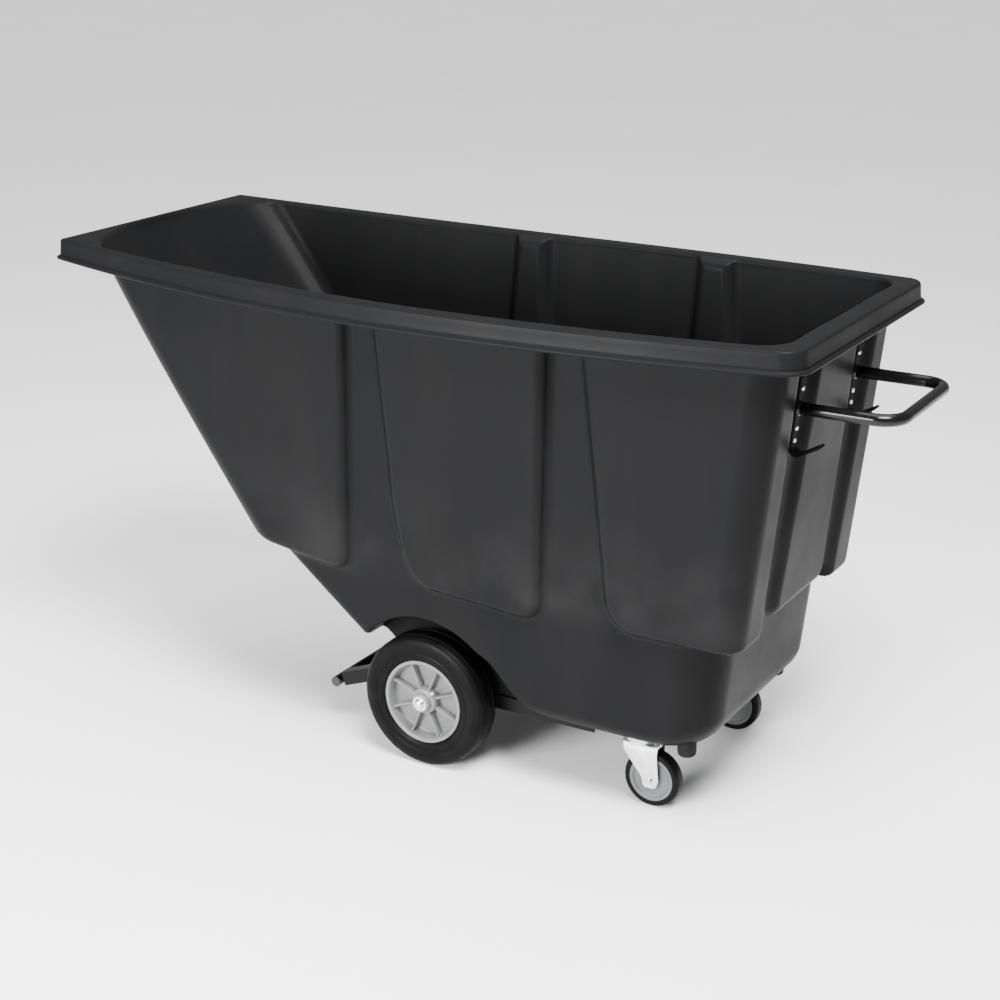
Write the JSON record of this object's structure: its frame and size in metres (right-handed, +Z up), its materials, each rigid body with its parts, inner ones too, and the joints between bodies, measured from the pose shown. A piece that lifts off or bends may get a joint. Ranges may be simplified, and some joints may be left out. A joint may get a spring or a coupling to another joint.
{
  "type": "tilt truck",
  "caption": "Plastic tilt truck: chute-fronted tub with raised side panels on two large wheels and two swivel casters, with a tube push handle.",
  "frame": {"origin": "centre of the truck's plan box, on the floor", "axes": "+X towards the push handle, +Y to the left when looking along +X, +Z up"},
  "size_m": [1.946, 0.8558, 1.088],
  "materials": {
    "tub": "charcoal black rotomoulded polyethylene, satin, fine moulding texture",
    "powder_coat": "gloss black powder coat on steel tube and bar",
    "frame_coat": "semi-gloss black powder coat on steel angle",
    "zinc": "bright zinc plate",
    "steel": "plain cold-drawn steel, lightly oiled",
    "tyre": "black rubber tyre",
    "wheel_hub": "light grey moulded hub",
    "bush": "sintered bronze bush",
    "caster_core": "mid grey moulded core",
    "caster_tread": "dark rubber tread",
    "plug": "black moulded end plug",
    "rubber": "black rubber foot"
  },
  "bodies": {
    "truck": {"tub_shell": "tub", "handle_tube": "powder_coat", "stop_bar": "powder_coat", "stop_bar_plugs": "plug", "handle_bolts": "zinc", "handle_nuts": "zinc", "frame_crossmember": "frame_coat", "frame_bolts": "zinc", "frame_nuts": "zinc", "axle": "steel", "axle_spacers": "steel", "axle_washers": "zinc", "axle_caps": "zinc", "caster_mount_bolts": "zinc", "caster_mount_nuts": "zinc", "rear_feet": "rubber", "handle_strap_left": "powder_coat", "rail_left": "frame_coat", "axle_bracket_left": "frame_coat", "caster_plate_left": "zinc", "caster_kingpin_left": "zinc", "handle_strap_right": "powder_coat", "rail_right": "frame_coat", "axle_bracket_right": "frame_coat", "caster_plate_right": "zinc", "caster_kingpin_right": "zinc"},
    "wheel_left": {"tyre_left": "tyre", "hub_left": "wheel_hub", "hub_bushes_left": "bush", "grease_fitting_left": "zinc"},
    "caster_swivel_left": {"caster_fork_left": "zinc", "caster_axle_left": "zinc", "caster_axle_nut_left": "zinc", "caster_balls_left": "steel"},
    "caster_wheel_left": {"caster_core_left": "caster_core", "caster_bush_left": "bush", "caster_tread_left": "caster_tread"},
    "wheel_right": {"tyre_right": "tyre", "hub_right": "wheel_hub", "hub_bushes_right": "bush", "grease_fitting_right": "zinc"},
    "caster_swivel_right": {"caster_fork_right": "zinc", "caster_axle_right": "zinc", "caster_axle_nut_right": "zinc", "caster_balls_right": "steel"},
    "caster_wheel_right": {"caster_core_right": "caster_core", "caster_bush_right": "bush", "caster_tread_right": "caster_tread"}
  },
  "joints": [
    {"name": "wheel_left_spin", "type": "hinge", "parent": "truck", "child": "wheel_left", "pos_m": [-0.017, 0.277, 0.1524], "axis": [0, 1, 0], "continuous": true},
    {"name": "caster_left_swivel", "type": "hinge", "parent": "truck", "child": "caster_swivel_left", "pos_m": [0.47, 0.212, 0.14], "axis": [0, 0, 1], "continuous": true},
    {"name": "caster_left_spin", "type": "hinge", "parent": "caster_swivel_left", "child": "caster_wheel_left", "pos_m": [0.502, 0.212, 0.0635], "axis": [0, 1, 0], "continuous": true},
    {"name": "wheel_right_spin", "type": "hinge", "parent": "truck", "child": "wheel_right", "pos_m": [-0.017, -0.277, 0.1524], "axis": [0, 1, 0], "continuous": true},
    {"name": "caster_right_swivel", "type": "hinge", "parent": "truck", "child": "caster_swivel_right", "pos_m": [0.47, -0.212, 0.14], "axis": [0, 0, 1], "continuous": true},
    {"name": "caster_right_spin", "type": "hinge", "parent": "caster_swivel_right", "child": "caster_wheel_right", "pos_m": [0.502, -0.212, 0.0635], "axis": [0, 1, 0], "continuous": true}
  ]
}
